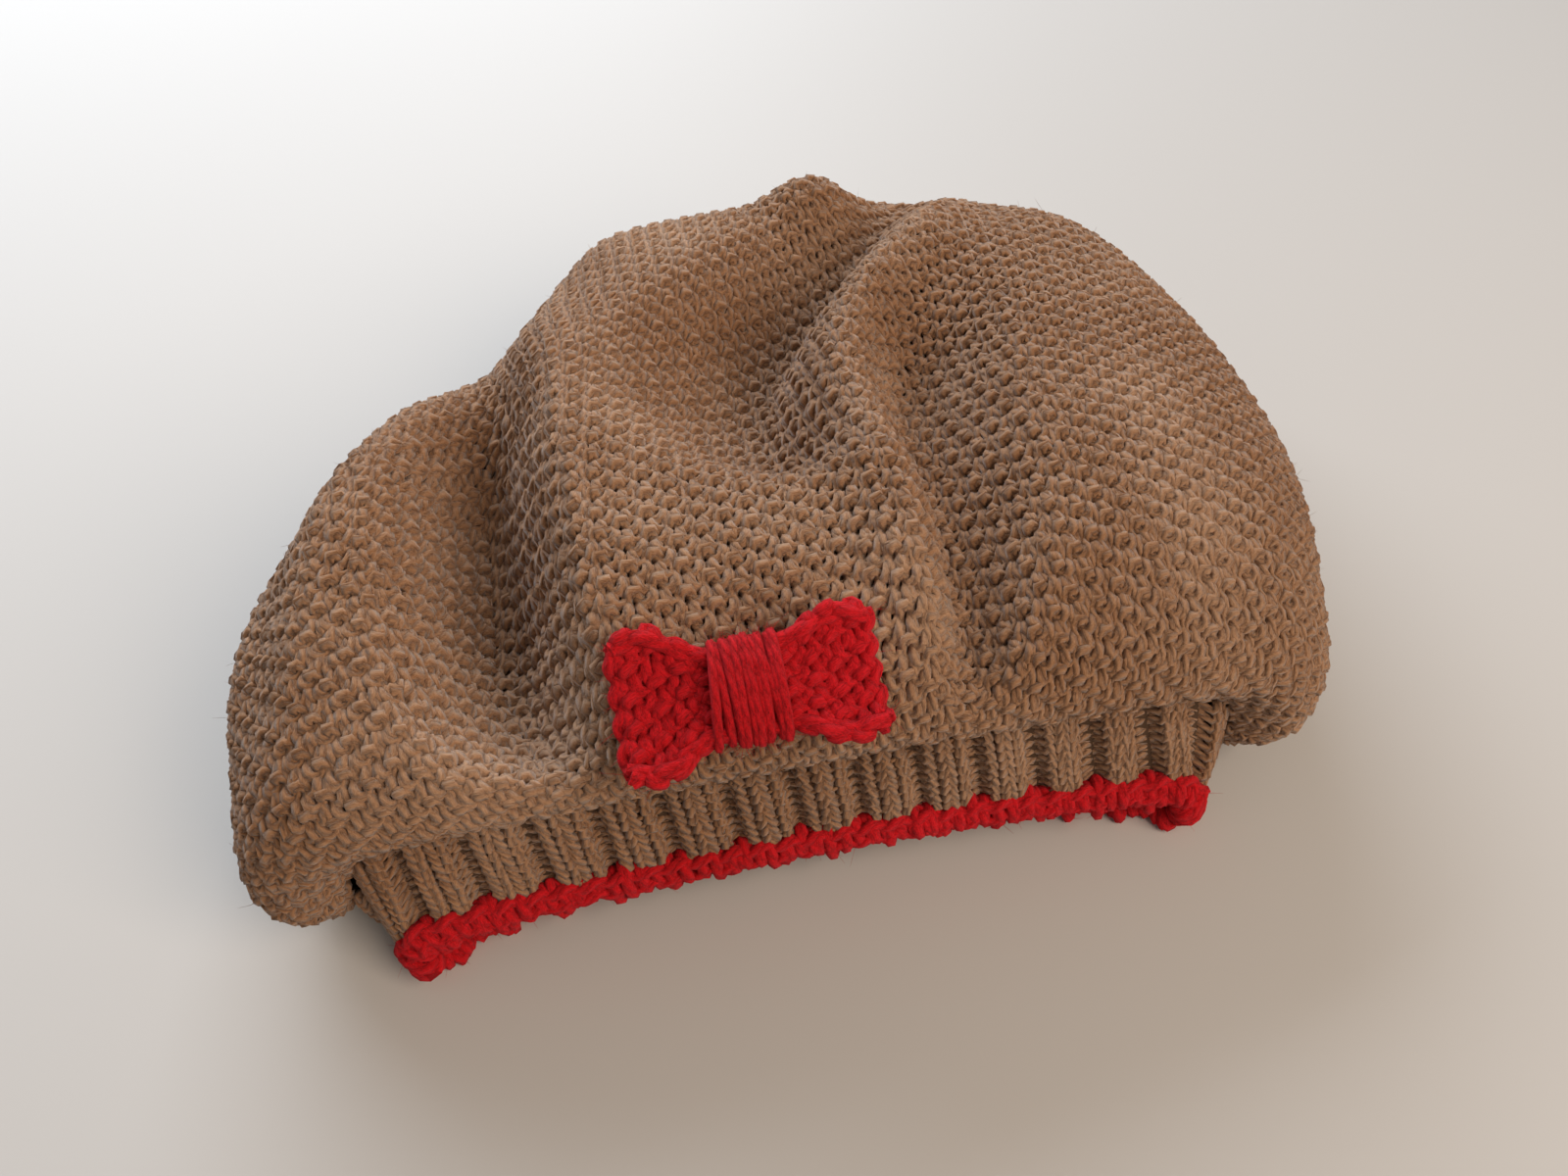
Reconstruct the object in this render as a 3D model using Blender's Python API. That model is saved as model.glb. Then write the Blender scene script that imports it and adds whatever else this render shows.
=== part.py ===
import math

import bmesh
import bpy
import numpy as np

# Driving dimensions in metres
BAND_WIDTH = 0.158
BAND_HEIGHT = 0.025
BAND_THICKNESS = 0.0030
EDGING_HEIGHT = 0.0065
EDGING_THICKNESS = 0.0042
CROWN_WIDTH = 0.238
CROWN_DEPTH = 0.179
CROWN_HEIGHT = 0.066
CROWN_THICKNESS = 0.0030
RIB_REPEATS = 28
RIB_RELIEF = 0.0012
CLEARANCE = 0.0003
BOW_WIDTH = 0.046
BOW_HEIGHT = 0.025
BOW_TAPER = 0.07  # how much taller the left loop is than the middle height, as a share of it
BOW_CORNER = 0.15  # how far the loops' corners are rounded off, as a share of the height
BOW_WAIST_HEIGHT = 0.0145
BOW_WAIST_DEPTH = 0.0060
BOW_CURL = 0.0040
BOW_WALL = 0.0032
KNOT_WIDTH = 0.0115
KNOT_WALL = 0.0022

# How finely the crown is faceted
CROWN_FACETS_AROUND = (44, 18)
CROWN_FACETS_ALONG = 28
BAND_FACETS_ALONG = 2
EDGING_BUMPS = 56
BOW_FACETS = (18, 8)
KNOT_FACETS = (20, 3)

YARN_TAUPE = (0.33, 0.23, 0.16)
YARN_RED = (0.62, 0.02, 0.02)

# How the band reaches from the crown's edge to the mouth, as shares of its length with the edging:
# forward along -Y and down, on top, at the side folds and underneath
BAND_DROP = {"top": (0.235, 0.93), "side": (0.37, 0.30), "under": (1.00, 0.00)}
BAND_FLARE = 1.13
BAND_SWELL = 0.0012
EDGING_DIP = 0.5
KNOT_BACK = 0.0016
BOW_FLARE = 0.62
BOW_BEND = 0.4

# Where the bow's middle sits on the crown: part of a turn, and share of the way from the band
BOW_TURN = 0.230
BOW_ALONG = 0.139

# The crown from the band to its closed end. "along" runs from 0 to 1. half_width is a share of
# half the crown's width, rises are shares of its height and backs are shares of its depth.
CROWN_SECTIONS = {
    "columns": ("along", "half_width", "off_centre", "top_rise", "top_back",
                "side_rise", "side_back", "under_rise", "under_back"),
    "rows": (
        (0.00, 0.750, 0.000, 0.60, 0.045, 0.22, 0.040, 0.00, 0.235),
        (0.04, 0.815, 0.003, 0.68, 0.000, 0.25, 0.015, 0.00, 0.240),
        (0.10, 0.890, 0.008, 0.83, 0.010, 0.29, 0.034, 0.00, 0.270),
        (0.20, 0.942, 0.030, 0.97, 0.115, 0.34, 0.150, 0.00, 0.360),
        (0.30, 0.968, 0.055, 1.00, 0.260, 0.38, 0.275, 0.00, 0.470),
        (0.42, 0.922, 0.108, 0.98, 0.450, 0.41, 0.420, 0.00, 0.600),
        (0.55, 0.812, 0.190, 0.93, 0.645, 0.42, 0.590, 0.00, 0.760),
        (0.67, 0.690, 0.245, 0.86, 0.815, 0.42, 0.740, 0.00, 0.880),
        (0.77, 0.552, 0.245, 0.76, 0.925, 0.41, 0.850, 0.02, 0.945),
        (0.86, 0.375, 0.230, 0.64, 0.980, 0.40, 0.930, 0.09, 0.980),
        (0.94, 0.175, 0.230, 0.49, 1.000, 0.39, 0.985, 0.23, 0.998),
        (1.00, 0.000, 0.230, 0.38, 1.000, 0.38, 1.000, 0.38, 1.000),
    ),
}

# Folds that run from the crown's back to its front. across is a share of half the crown's width,
# back of its depth and lift of its height; left and right are how far the fold reaches to each
# side, as shares of half the width.
FOLD_COLUMNS = ("back", "across", "lift", "left", "right")
FOLDS = {
    "left_valley": (
        (0.020, -0.385, -0.12, 0.18, 0.13),
        (0.110, -0.430, -0.37, 0.20, 0.15),
        (0.230, -0.455, -0.51, 0.19, 0.17),
        (0.380, -0.465, -0.46, 0.17, 0.17),
        (0.550, -0.445, -0.24, 0.16, 0.15),
        (0.740, -0.440, -0.10, 0.20, 0.16),
        (0.880, -0.440, -0.02, 0.16, 0.16),
    ),
    "panel_edge": (
        (0.020, -0.265, 0.03, 0.09, 0.20),
        (0.160, -0.315, 0.07, 0.10, 0.24),
        (0.320, -0.345, 0.09, 0.10, 0.26),
        (0.500, -0.345, 0.08, 0.11, 0.26),
        (0.700, -0.330, 0.03, 0.14, 0.24),
        (0.860, -0.340, 0.00, 0.14, 0.20),
    ),
    "middle_valley": (
        (0.280, 0.110, 0.00, 0.20, 0.15),
        (0.370, 0.070, -0.22, 0.30, 0.17),
        (0.500, 0.060, -0.33, 0.36, 0.18),
        (0.640, 0.150, -0.32, 0.36, 0.19),
        (0.780, 0.310, -0.23, 0.32, 0.19),
        (0.900, 0.440, -0.12, 0.24, 0.18),
        (1.000, 0.560, -0.02, 0.18, 0.15),
    ),
    "front_ridge": (
        (0.030, 0.175, 0.03, 0.08, 0.06),
        (0.140, 0.190, 0.09, 0.12, 0.08),
        (0.250, 0.200, 0.10, 0.14, 0.09),
        (0.340, 0.170, 0.11, 0.12, 0.10),
        (0.440, 0.150, 0.12, 0.11, 0.11),
        (0.550, 0.180, 0.12, 0.11, 0.14),
        (0.680, 0.330, 0.08, 0.12, 0.18),
        (0.860, 0.520, 0.03, 0.12, 0.18),
        (0.960, 0.600, 0.00, 0.12, 0.16),
    ),
    "right_crease": (
        (0.020, 0.240, -0.10, 0.06, 0.10),
        (0.120, 0.260, -0.17, 0.07, 0.16),
        (0.250, 0.285, -0.19, 0.08, 0.20),
        (0.380, 0.300, -0.22, 0.10, 0.22),
        (0.500, 0.340, -0.22, 0.12, 0.22),
        (0.620, 0.420, -0.08, 0.14, 0.20),
        (0.740, 0.480, 0.00, 0.14, 0.20),
    ),
    "left_crease": (
        (0.080, -0.840, 0.00, 0.08, 0.08),
        (0.220, -0.820, -0.06, 0.08, 0.08),
        (0.360, -0.780, -0.07, 0.08, 0.08),
        (0.480, -0.700, -0.03, 0.08, 0.08),
        (0.560, -0.660, 0.00, 0.08, 0.08),
    ),
}

# Rounded swellings and dents, in the same shares, with their reach each way
SWELL_COLUMNS = ("back", "across", "lift", "reach_back", "reach_across")
SWELLS = {
    "left_lobe": (0.400, -0.710, 0.07, 0.28, 0.22),
    "left_crest": (0.560, -0.500, 0.05, 0.16, 0.13),
    "right_lobe": (0.300, 0.620, 0.06, 0.42, 0.34),
    "peak": (0.960, 0.300, 0.15, 0.20, 0.17),
    "panel_back": (0.780, -0.340, -0.11, 0.20, 0.24),
    "right_back": (0.880, 0.620, -0.05, 0.20, 0.25),
    "bow_ridge": (0.200, -0.060, 0.03, 0.12, 0.36),
}


def table(columns, rows):
    """The rows as one array of numbers for each named column."""
    return {name: np.array([row[i] for row in rows]) for i, name in enumerate(columns)}


def smooth_curve(stations, values, where):
    """A smooth curve through a column's values, read at any place along it."""
    slopes = np.gradient(values, stations)
    where = np.clip(where, stations[0], stations[-1])
    i = np.clip(np.searchsorted(stations, where, side="right") - 1, 0, len(stations) - 2)
    step = stations[i + 1] - stations[i]
    t = (where - stations[i]) / step
    return ((2 * t**3 - 3 * t**2 + 1) * values[i] + (t**3 - 2 * t**2 + t) * step * slopes[i]
            + (3 * t**2 - 2 * t**3) * values[i + 1] + (t**3 - t**2) * step * slopes[i + 1])


def ease(t):
    """0 below 0, 1 above 1 and a soft step between."""
    t = np.clip(t, 0.0, 1.0)
    return t * t * (3 - 2 * t)


def hump(t):
    """1 in the middle, falling softly to 0 at 1 on either side."""
    return 0.5 + 0.5 * np.cos(np.pi * np.clip(np.abs(t), 0.0, 1.0))


def fold_lift(x, y):
    """How far the folds and swellings lift the upper side at a place."""
    across = x / (CROWN_WIDTH / 2)
    back = y / CROWN_DEPTH
    lift = np.zeros_like(across)
    for rows in FOLDS.values():
        fold = table(FOLD_COLUMNS, rows)
        middle = smooth_curve(fold["back"], fold["across"], back)
        left = np.interp(back, fold["back"], fold["left"])
        right = np.interp(back, fold["back"], fold["right"])
        offset = across - middle
        shape = hump(offset / np.where(offset < 0, left, right))
        within = hump(np.maximum(fold["back"][0] - back, back - fold["back"][-1]).clip(0) / 0.06)
        lift += shape * within * smooth_curve(fold["back"], fold["lift"], back)
    for row in SWELLS.values():
        swell = dict(zip(SWELL_COLUMNS, row))
        reach = np.hypot((back - swell["back"]) / swell["reach_back"],
                         (across - swell["across"]) / swell["reach_across"])
        lift += swell["lift"] * hump(reach)
    return lift * CROWN_HEIGHT


def rounded(distance, radius):
    """A quarter circle's rise, from 0 at a fold to 1 at a radius from it."""
    q = np.clip(distance / np.maximum(radius, 1e-6), 0, 1)
    return np.sqrt(1 - (1 - q) ** 2)


def section_point(turn, half_width, middle, top, side, under):
    """A point of a ring. turn runs from 0 to 1: left fold, top, right fold, underside. top, side
    and under are (height, back); the side folds are rounded and the underside is flat."""
    angle = 2 * math.pi * turn
    upper = np.clip(np.sin(angle), 0, 1)
    lower = np.clip(-np.sin(angle), 0, 1)
    from_fold = half_width * (1 - np.abs(np.cos(angle)))
    y = side[1] + (top[1] - side[1]) * upper**1.3 + (under[1] - side[1]) * lower**1.3
    curve = np.minimum(side[0], top[0] - side[0])
    above = curve * rounded(from_fold, curve) + (top[0] - side[0] - curve) * upper**1.2
    drop = side[0] - under[0]
    z = side[0] + np.where(lower > 0, -drop * rounded(from_fold, drop), above)
    return np.stack([middle - half_width * np.cos(angle), y, z], axis=-1)


def smooth_crown_point(turn, along):
    """A point of the crown's outer face before it is folded."""
    at = {name: smooth_curve(SECTIONS["along"], SECTIONS[name], along) for name in SECTIONS}
    half = CROWN_WIDTH / 2
    return section_point(turn, at["half_width"] * half, at["off_centre"] * half,
                         (at["top_rise"] * CROWN_HEIGHT, at["top_back"] * CROWN_DEPTH),
                         (at["side_rise"] * CROWN_HEIGHT, at["side_back"] * CROWN_DEPTH),
                         (at["under_rise"] * CROWN_HEIGHT, at["under_back"] * CROWN_DEPTH))


def crown_point(turn, along):
    """A point of the crown's outer face with its folds, swellings and dents."""
    at = smooth_crown_point(turn, along)
    upper = np.sin(2 * math.pi * turn)
    weight = ease(upper / 0.45) * ease((along - 0.02) / 0.16) * ease((0.92 - along) / 0.20)
    at[..., 2] = np.maximum(at[..., 2] + fold_lift(at[..., 0], at[..., 1]) * weight, 0.0)
    return at


def even_turns(point, share, upper, lower):
    """Turns that space points evenly along the upper and the lower half of a surface's ring."""
    turns = []
    for start, count in ((0.0, upper), (0.5, lower)):
        turn = start + np.linspace(0, 0.5, 241)
        half = point(turn, np.full_like(turn, share))
        run = np.concatenate([[0], np.cumsum(np.linalg.norm(np.diff(half, axis=0), axis=1))])
        turns.append(np.interp(np.arange(count) / count * run[-1], run, turn))
    return np.concatenate(turns)


def steady(turns, passes):
    """Turns averaged with those of the rings before and after, so that columns run smoothly."""
    for _ in range(passes):
        turns[1:-1] = (turns[:-2] + 2 * turns[1:-1] + turns[2:]) / 4
    return turns


def mouth_point(turn):
    """A point of the mouth's edge, which the band's height sets below and before the crown."""
    length = BAND_HEIGHT + EDGING_HEIGHT
    first = {name: SECTIONS[name][0] for name in SECTIONS}
    top, side = ((first[name + "_rise"] * CROWN_HEIGHT - BAND_DROP[name][1] * length,
                  first[name + "_back"] * CROWN_DEPTH - BAND_DROP[name][0] * length)
                 for name in ("top", "side"))
    under = (0.0, first["under_back"] * CROWN_DEPTH - BAND_DROP["under"][0] * length)
    middle = first["off_centre"] * CROWN_WIDTH / 2
    return section_point(turn, BAND_WIDTH / 2, middle, top, side, under)


def band_point(turn, share):
    """A point of the band's outer face, from the mouth's edge at 0 to the crown at 1."""
    mouth = mouth_point(turn)
    top = crown_point(turn, np.zeros_like(turn))
    at = mouth + (top - mouth) * np.asarray(share)[..., None]
    at[..., 1] -= BAND_SWELL * np.sin(np.pi * share) * np.clip(np.sin(2 * math.pi * turn), 0, 1)
    return at


def outward(rings):
    """Unit vectors that point out of a grid of rings at each of its points."""
    around = np.roll(rings, -1, axis=1) - np.roll(rings, 1, axis=1)
    along = np.gradient(rings, axis=0)
    normal = np.cross(around, along)
    return normal / np.linalg.norm(normal, axis=-1, keepdims=True)


def add_object(name, vertices, faces, colour, roughness):
    """One closed, smooth-shaded object with its own material."""
    mesh = bpy.data.meshes.new(name)
    mesh.from_pydata([tuple(map(float, v)) for v in vertices], [], faces)
    shape = bmesh.new()
    shape.from_mesh(mesh)
    bmesh.ops.recalc_face_normals(shape, faces=shape.faces)
    bmesh.ops.triangulate(shape, faces=shape.faces)
    if shape.calc_volume(signed=True) < 0:
        bmesh.ops.reverse_faces(shape, faces=shape.faces)
    shape.to_mesh(mesh)
    shape.free()
    mesh.shade_smooth()
    mesh.set_sharp_from_angle(angle=math.radians(50))
    material = bpy.data.materials.new(name)
    material.use_nodes = True
    surface = material.node_tree.nodes["Principled BSDF"]
    surface.inputs["Base Color"].default_value = (*colour, 1)
    surface.inputs["Roughness"].default_value = roughness
    surface.inputs["Metallic"].default_value = 0
    mesh.materials.append(material)
    piece = bpy.data.objects.new(name, mesh)
    bpy.context.collection.objects.link(piece)
    return piece


def strip_faces(first, second, count):
    """Faces between two closed rings of vertex numbers."""
    return [(first + i, first + (i + 1) % count, second + (i + 1) % count, second + i)
            for i in range(count)]


def shell_faces(rows, count, close_end):
    """Faces of an outer and an inner grid of rings, joined at the first ring and at the last.
    With close_end, each grid closes on a pole of its own, outer first."""
    inner = rows * count
    faces = strip_faces(0, inner, count)
    for grid in (0, inner):
        for row in range(rows - 1):
            faces += strip_faces(grid + row * count, grid + (row + 1) * count, count)
    last = (rows - 1) * count
    if not close_end:
        return faces + strip_faces(last, inner + last, count)
    for grid, pole in ((last, 2 * inner), (inner + last, 2 * inner + 1)):
        faces += [(grid + i, grid + (i + 1) % count, pole) for i in range(count)]
    return faces


def add_crown():
    """The hollow knitted body."""
    shares = np.linspace(0, 1, CROWN_FACETS_ALONG + 1)[:-1]
    turns = steady(np.stack([even_turns(crown_point, share, *CROWN_FACETS_AROUND)
                             for share in shares]), 6)
    along = np.broadcast_to(shares[:, None], turns.shape)
    rings = crown_point(turns, along)
    inward = -outward(rings) - outward(smooth_crown_point(turns, along))
    inside = rings + inward / np.linalg.norm(inward, axis=-1, keepdims=True) * CROWN_THICKNESS
    pole = crown_point(np.array([0.25]), np.array([1.0]))[0]
    inner_pole = pole - np.array([0, CROWN_THICKNESS, 0])
    vertices = np.concatenate([rings.reshape(-1, 3), inside.reshape(-1, 3), [pole, inner_pole]])
    faces = shell_faces(len(shares), sum(CROWN_FACETS_AROUND), True)
    return add_object("crown", vertices, faces, YARN_TAUPE, 0.95)


def band_rings(shares, count):
    """Rings of the band's outer face, and the directions that point out of them."""
    turn = even_turns(band_point, 0.0, count // 2, count // 2)
    rings = np.stack([band_point(turn, np.full_like(turn, share)) for share in shares])
    return rings, outward(rings)


def add_band():
    """The ribbed band: two knit columns proud, two purl columns set back."""
    count = RIB_REPEATS * 4
    length = BAND_HEIGHT + EDGING_HEIGHT
    shares = np.linspace((EDGING_HEIGHT + CLEARANCE) / length, 1 - CLEARANCE / length,
                         BAND_FACETS_ALONG + 1)
    rings, out = band_rings(shares, count)
    recess = np.where(np.arange(count) % 4 < 2, 0.0, RIB_RELIEF)[None, :, None]
    outside = rings - out * recess
    inside = rings - out * BAND_THICKNESS
    vertices = np.concatenate([outside.reshape(-1, 3), inside.reshape(-1, 3)])
    return add_object("rib_band", vertices, shell_faces(len(shares), count, False), YARN_TAUPE, 0.95)


def add_edging():
    """The crocheted edging: a rounded ring along the mouth with small hanging bumps."""
    count = EDGING_BUMPS * 2
    shares = np.array([0, 0.3, 0.7, 1]) * EDGING_HEIGHT / (BAND_HEIGHT + EDGING_HEIGHT)
    rings, out = band_rings(shares, count)
    dip = np.where(np.arange(count) % 2 == 0, 0.0, EDGING_DIP)[:, None]
    rings[0] += (rings[1] - rings[0]) * dip
    swell = (EDGING_THICKNESS - BAND_THICKNESS) / 2
    outside = rings + out * swell * np.array([0, 1, 1, 0])[:, None, None]
    outside[..., 2] = np.maximum(outside[..., 2], 0)
    inside = rings - out * (BAND_THICKNESS + swell * np.array([0, 1, 1, 0])[:, None, None])
    vertices = np.concatenate([outside.reshape(-1, 3), inside.reshape(-1, 3)])
    return add_object("red_edging", vertices, shell_faces(len(shares), count, False), YARN_RED, 0.9)


def bow_frame():
    """The bow's middle on the crown and its directions across, up and out."""
    turn, along = np.array([BOW_TURN]), np.array([BOW_ALONG])
    step = 0.02
    across = smooth_crown_point(turn + step, along) - smooth_crown_point(turn - step, along)
    up = smooth_crown_point(turn, along + step) - smooth_crown_point(turn, along - step)
    across, up = across[0], up[0]
    across /= np.linalg.norm(across)
    up -= across * (up @ across)
    up /= np.linalg.norm(up)
    out = np.cross(across, up)
    return smooth_crown_point(turn, along)[0], np.stack([across, up, out])


def bow_seat_height():
    """The height, in the bow's own directions, at which its back just clears the crown."""
    middle, directions = bow_frame()
    turn, along = np.meshgrid(BOW_TURN + np.linspace(-0.08, 0.08, 65), np.linspace(0, 0.3, 61))
    at = (crown_point(turn, along).reshape(-1, 3) - middle) @ directions.T
    across, up, height = at[:, 0], at[:, 1], at[:, 2] + at[:, 0] ** 2 / (2 * BOW_BEND)
    half = strip_half(across)
    strip = (np.abs(across) < BOW_WIDTH / 2) & (np.abs(up) < half)
    knot = (np.abs(across) < KNOT_WIDTH / 2) & (np.abs(up) < BOW_WAIST_HEIGHT / 2 + KNOT_WALL)
    return max((height - strip_back(across, up / half) + CLEARANCE)[strip].max(), height[knot].max())


def on_bow_seat(across, up, height):
    """The point that lies across and up from the bow's middle, at a height over its seat."""
    middle, directions = bow_frame()
    out = bow_seat_height() + height - across**2 / (2 * BOW_BEND)
    return middle + np.stack([across, up, out], axis=-1) @ directions


def waist_share(across):
    """1 at the bow's pinched middle, falling to 0 past the knot."""
    reach = KNOT_WIDTH / 2
    return ease(1 - (np.abs(across) - reach) / (BOW_WIDTH / 2 - reach) / BOW_FLARE)


def strip_half(across):
    """Half the strip's height, which the knot pinches."""
    side = np.clip(2 * across / BOW_WIDTH, -1, 1)
    height = BOW_HEIGHT * (1 - BOW_TAPER * side - BOW_CORNER * side**6)
    return (height + (BOW_WAIST_HEIGHT - height) * waist_share(across)) / 2


def strip_rounding(up):
    """Half the strip's depth where it is bunched in the knot."""
    return BOW_WAIST_DEPTH / 2 * np.sqrt(1 - 0.99 * np.clip(up, -1, 1) ** 2)


def strip_back(across, up):
    """How far the strip's back stands off the bow's seat; up runs from -1 to 1."""
    pinch = waist_share(across)
    curl = BOW_CURL * np.abs(up) ** 2.5 * (1 - pinch)
    return 2 * CLEARANCE + KNOT_BACK + curl + (BOW_WAIST_DEPTH / 2 - strip_rounding(up)) * pinch


def add_bow_strip():
    """The bow's knitted strip: flat where it spreads, with curled edges, and pinched in the knot."""
    columns, rows = BOW_FACETS
    across, up = np.meshgrid(np.linspace(-0.5, 0.5, columns + 1) * BOW_WIDTH,
                             np.linspace(-1, 1, rows + 1), indexing="ij")
    pinch = waist_share(across)
    half = strip_half(across)
    back = strip_back(across, up)
    front = back + BOW_WALL * (1 - pinch) + 2 * strip_rounding(up) * pinch
    shape = [on_bow_seat(across, up * half, face).reshape(-1, 3) for face in (back, front)]
    line = rows + 1
    size = (columns + 1) * line
    faces = []
    for column in range(columns):
        for row in range(rows):
            corner = column * line + row
            faces += [tuple(face + n for n in (corner, corner + line, corner + line + 1, corner + 1))
                      for face in (0, size)]
    edge = ([(column * line, (column + 1) * line) for column in range(columns)]
            + [(column * line + rows, (column + 1) * line + rows) for column in range(columns)]
            + [(row, row + 1) for row in range(rows)]
            + [(columns * line + row, columns * line + row + 1) for row in range(rows)])
    faces += [(a, b, size + b, size + a) for a, b in edge]
    return add_object("bow_strip", np.concatenate(shape), faces, YARN_RED, 0.9)


def add_bow_knot():
    """The yarn wound round the bow's middle, as one closed ring."""
    around, wide = KNOT_FACETS
    angle = 2 * math.pi * np.arange(around) / around
    middle = CLEARANCE + KNOT_BACK + CLEARANCE + BOW_WAIST_DEPTH / 2
    tall = BOW_WAIST_HEIGHT / 2 + CLEARANCE
    deep = BOW_WAIST_DEPTH / 2 + CLEARANCE
    rings = []
    for place in np.linspace(-0.5, 0.5, wide + 1) * KNOT_WIDTH:
        rings.append((place, tall + KNOT_WALL, deep + KNOT_WALL))
    for place in np.linspace(0.5, -0.5, wide + 1) * KNOT_WIDTH:
        rings.append((place, tall, deep))
    vertices = []
    for place, high, thick in rings:
        up = high * np.cos(angle)
        raised = middle + thick * np.sin(angle)
        raised = np.maximum(raised, CLEARANCE if high > tall else CLEARANCE + KNOT_BACK)
        vertices.append(on_bow_seat(np.full(around, place), up, raised))
    faces = []
    for i in range(len(rings)):
        faces += strip_faces(i * around, (i + 1) % len(rings) * around, around)
    return add_object("bow_knot", np.concatenate(vertices), faces, YARN_RED, 0.9)


def stand_on_origin(pieces):
    """Place the pieces so that the middle of their box's underside is the origin."""
    corners = np.concatenate([[v.co[:] for v in piece.data.vertices] for piece in pieces])
    low, high = corners.min(axis=0), corners.max(axis=0)
    shift = (-(low[0] + high[0]) / 2, -(low[1] + high[1]) / 2, -low[2])
    for piece in pieces:
        piece.location = shift


def main():
    for item in list(bpy.data.objects):
        bpy.data.objects.remove(item)
    stand_on_origin([add_crown(), add_band(), add_edging(), add_bow_strip(), add_bow_knot()])


SECTIONS = table(CROWN_SECTIONS["columns"], CROWN_SECTIONS["rows"])
SECTIONS["half_width"][0] = BAND_FLARE * BAND_WIDTH / CROWN_WIDTH
main()
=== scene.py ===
import math

import bpy
import numpy as np
from mathutils import Euler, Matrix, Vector


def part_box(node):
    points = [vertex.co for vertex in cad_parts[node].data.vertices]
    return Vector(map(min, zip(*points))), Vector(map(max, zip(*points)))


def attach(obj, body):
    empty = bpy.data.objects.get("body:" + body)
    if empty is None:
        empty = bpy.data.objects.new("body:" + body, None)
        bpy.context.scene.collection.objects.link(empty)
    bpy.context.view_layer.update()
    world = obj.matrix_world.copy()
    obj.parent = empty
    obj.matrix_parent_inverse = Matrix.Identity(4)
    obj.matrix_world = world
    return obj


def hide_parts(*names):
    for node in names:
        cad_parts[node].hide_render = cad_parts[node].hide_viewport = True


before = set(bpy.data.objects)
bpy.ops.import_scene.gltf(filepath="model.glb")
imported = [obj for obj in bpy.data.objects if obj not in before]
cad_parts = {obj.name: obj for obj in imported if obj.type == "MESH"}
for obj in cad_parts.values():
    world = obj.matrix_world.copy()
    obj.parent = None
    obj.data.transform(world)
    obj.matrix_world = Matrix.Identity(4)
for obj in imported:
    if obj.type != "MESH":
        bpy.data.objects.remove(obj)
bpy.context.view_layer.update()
print("frame loaded")

# Sizes are in metres. The hat frame has the middle of the mouth at its origin, the mouth along X,
# the crown's closed end toward +Y and the surface that the hat lies on at z = 0.
hat = {
    "bandWidth": 0.158, "bandHeight": 0.025, "edgingHeight": 0.0065,
    "crownWidth": 0.238, "crownDepth": 0.179, "crownHeight": 0.066,
    # the crown's first ring is wider than the mouth by the flare, and the band bulges by the swell
    "bandFlare": 1.13, "bandSwell": 0.0012,
    # how the band reaches from the crown to the mouth: forward and down, as shares of its length
    "bandTop": (0.235, 0.93), "bandSide": (0.37, 0.30), "bandUnder": (1.00, 0.00),
}

# rises are shares of the crown's height and backs are shares of its depth
crownColumns = ("along", "halfWidth", "offCentre", "topRise", "topBack", "sideRise", "sideBack",
                "underRise", "underBack")
crownRows = (
    (0.00, 0.750, 0.000, 0.60, 0.045, 0.22, 0.040, 0.00, 0.235),
    (0.04, 0.815, 0.003, 0.68, 0.000, 0.25, 0.015, 0.00, 0.240),
    (0.10, 0.890, 0.008, 0.83, 0.010, 0.29, 0.034, 0.00, 0.270),
    (0.20, 0.942, 0.030, 0.97, 0.115, 0.34, 0.150, 0.00, 0.360),
    (0.30, 0.968, 0.055, 1.00, 0.260, 0.38, 0.275, 0.00, 0.470),
    (0.42, 0.922, 0.108, 0.98, 0.450, 0.41, 0.420, 0.00, 0.600),
    (0.55, 0.812, 0.190, 0.93, 0.645, 0.42, 0.590, 0.00, 0.760),
    (0.67, 0.690, 0.245, 0.86, 0.815, 0.42, 0.740, 0.00, 0.880),
    (0.77, 0.552, 0.245, 0.76, 0.925, 0.41, 0.850, 0.02, 0.945),
    (0.86, 0.375, 0.230, 0.64, 0.980, 0.40, 0.930, 0.09, 0.980),
    (0.94, 0.175, 0.230, 0.49, 1.000, 0.39, 0.985, 0.23, 0.998),
    (1.00, 0.000, 0.230, 0.38, 1.000, 0.38, 1.000, 0.38, 1.000),
)

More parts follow.
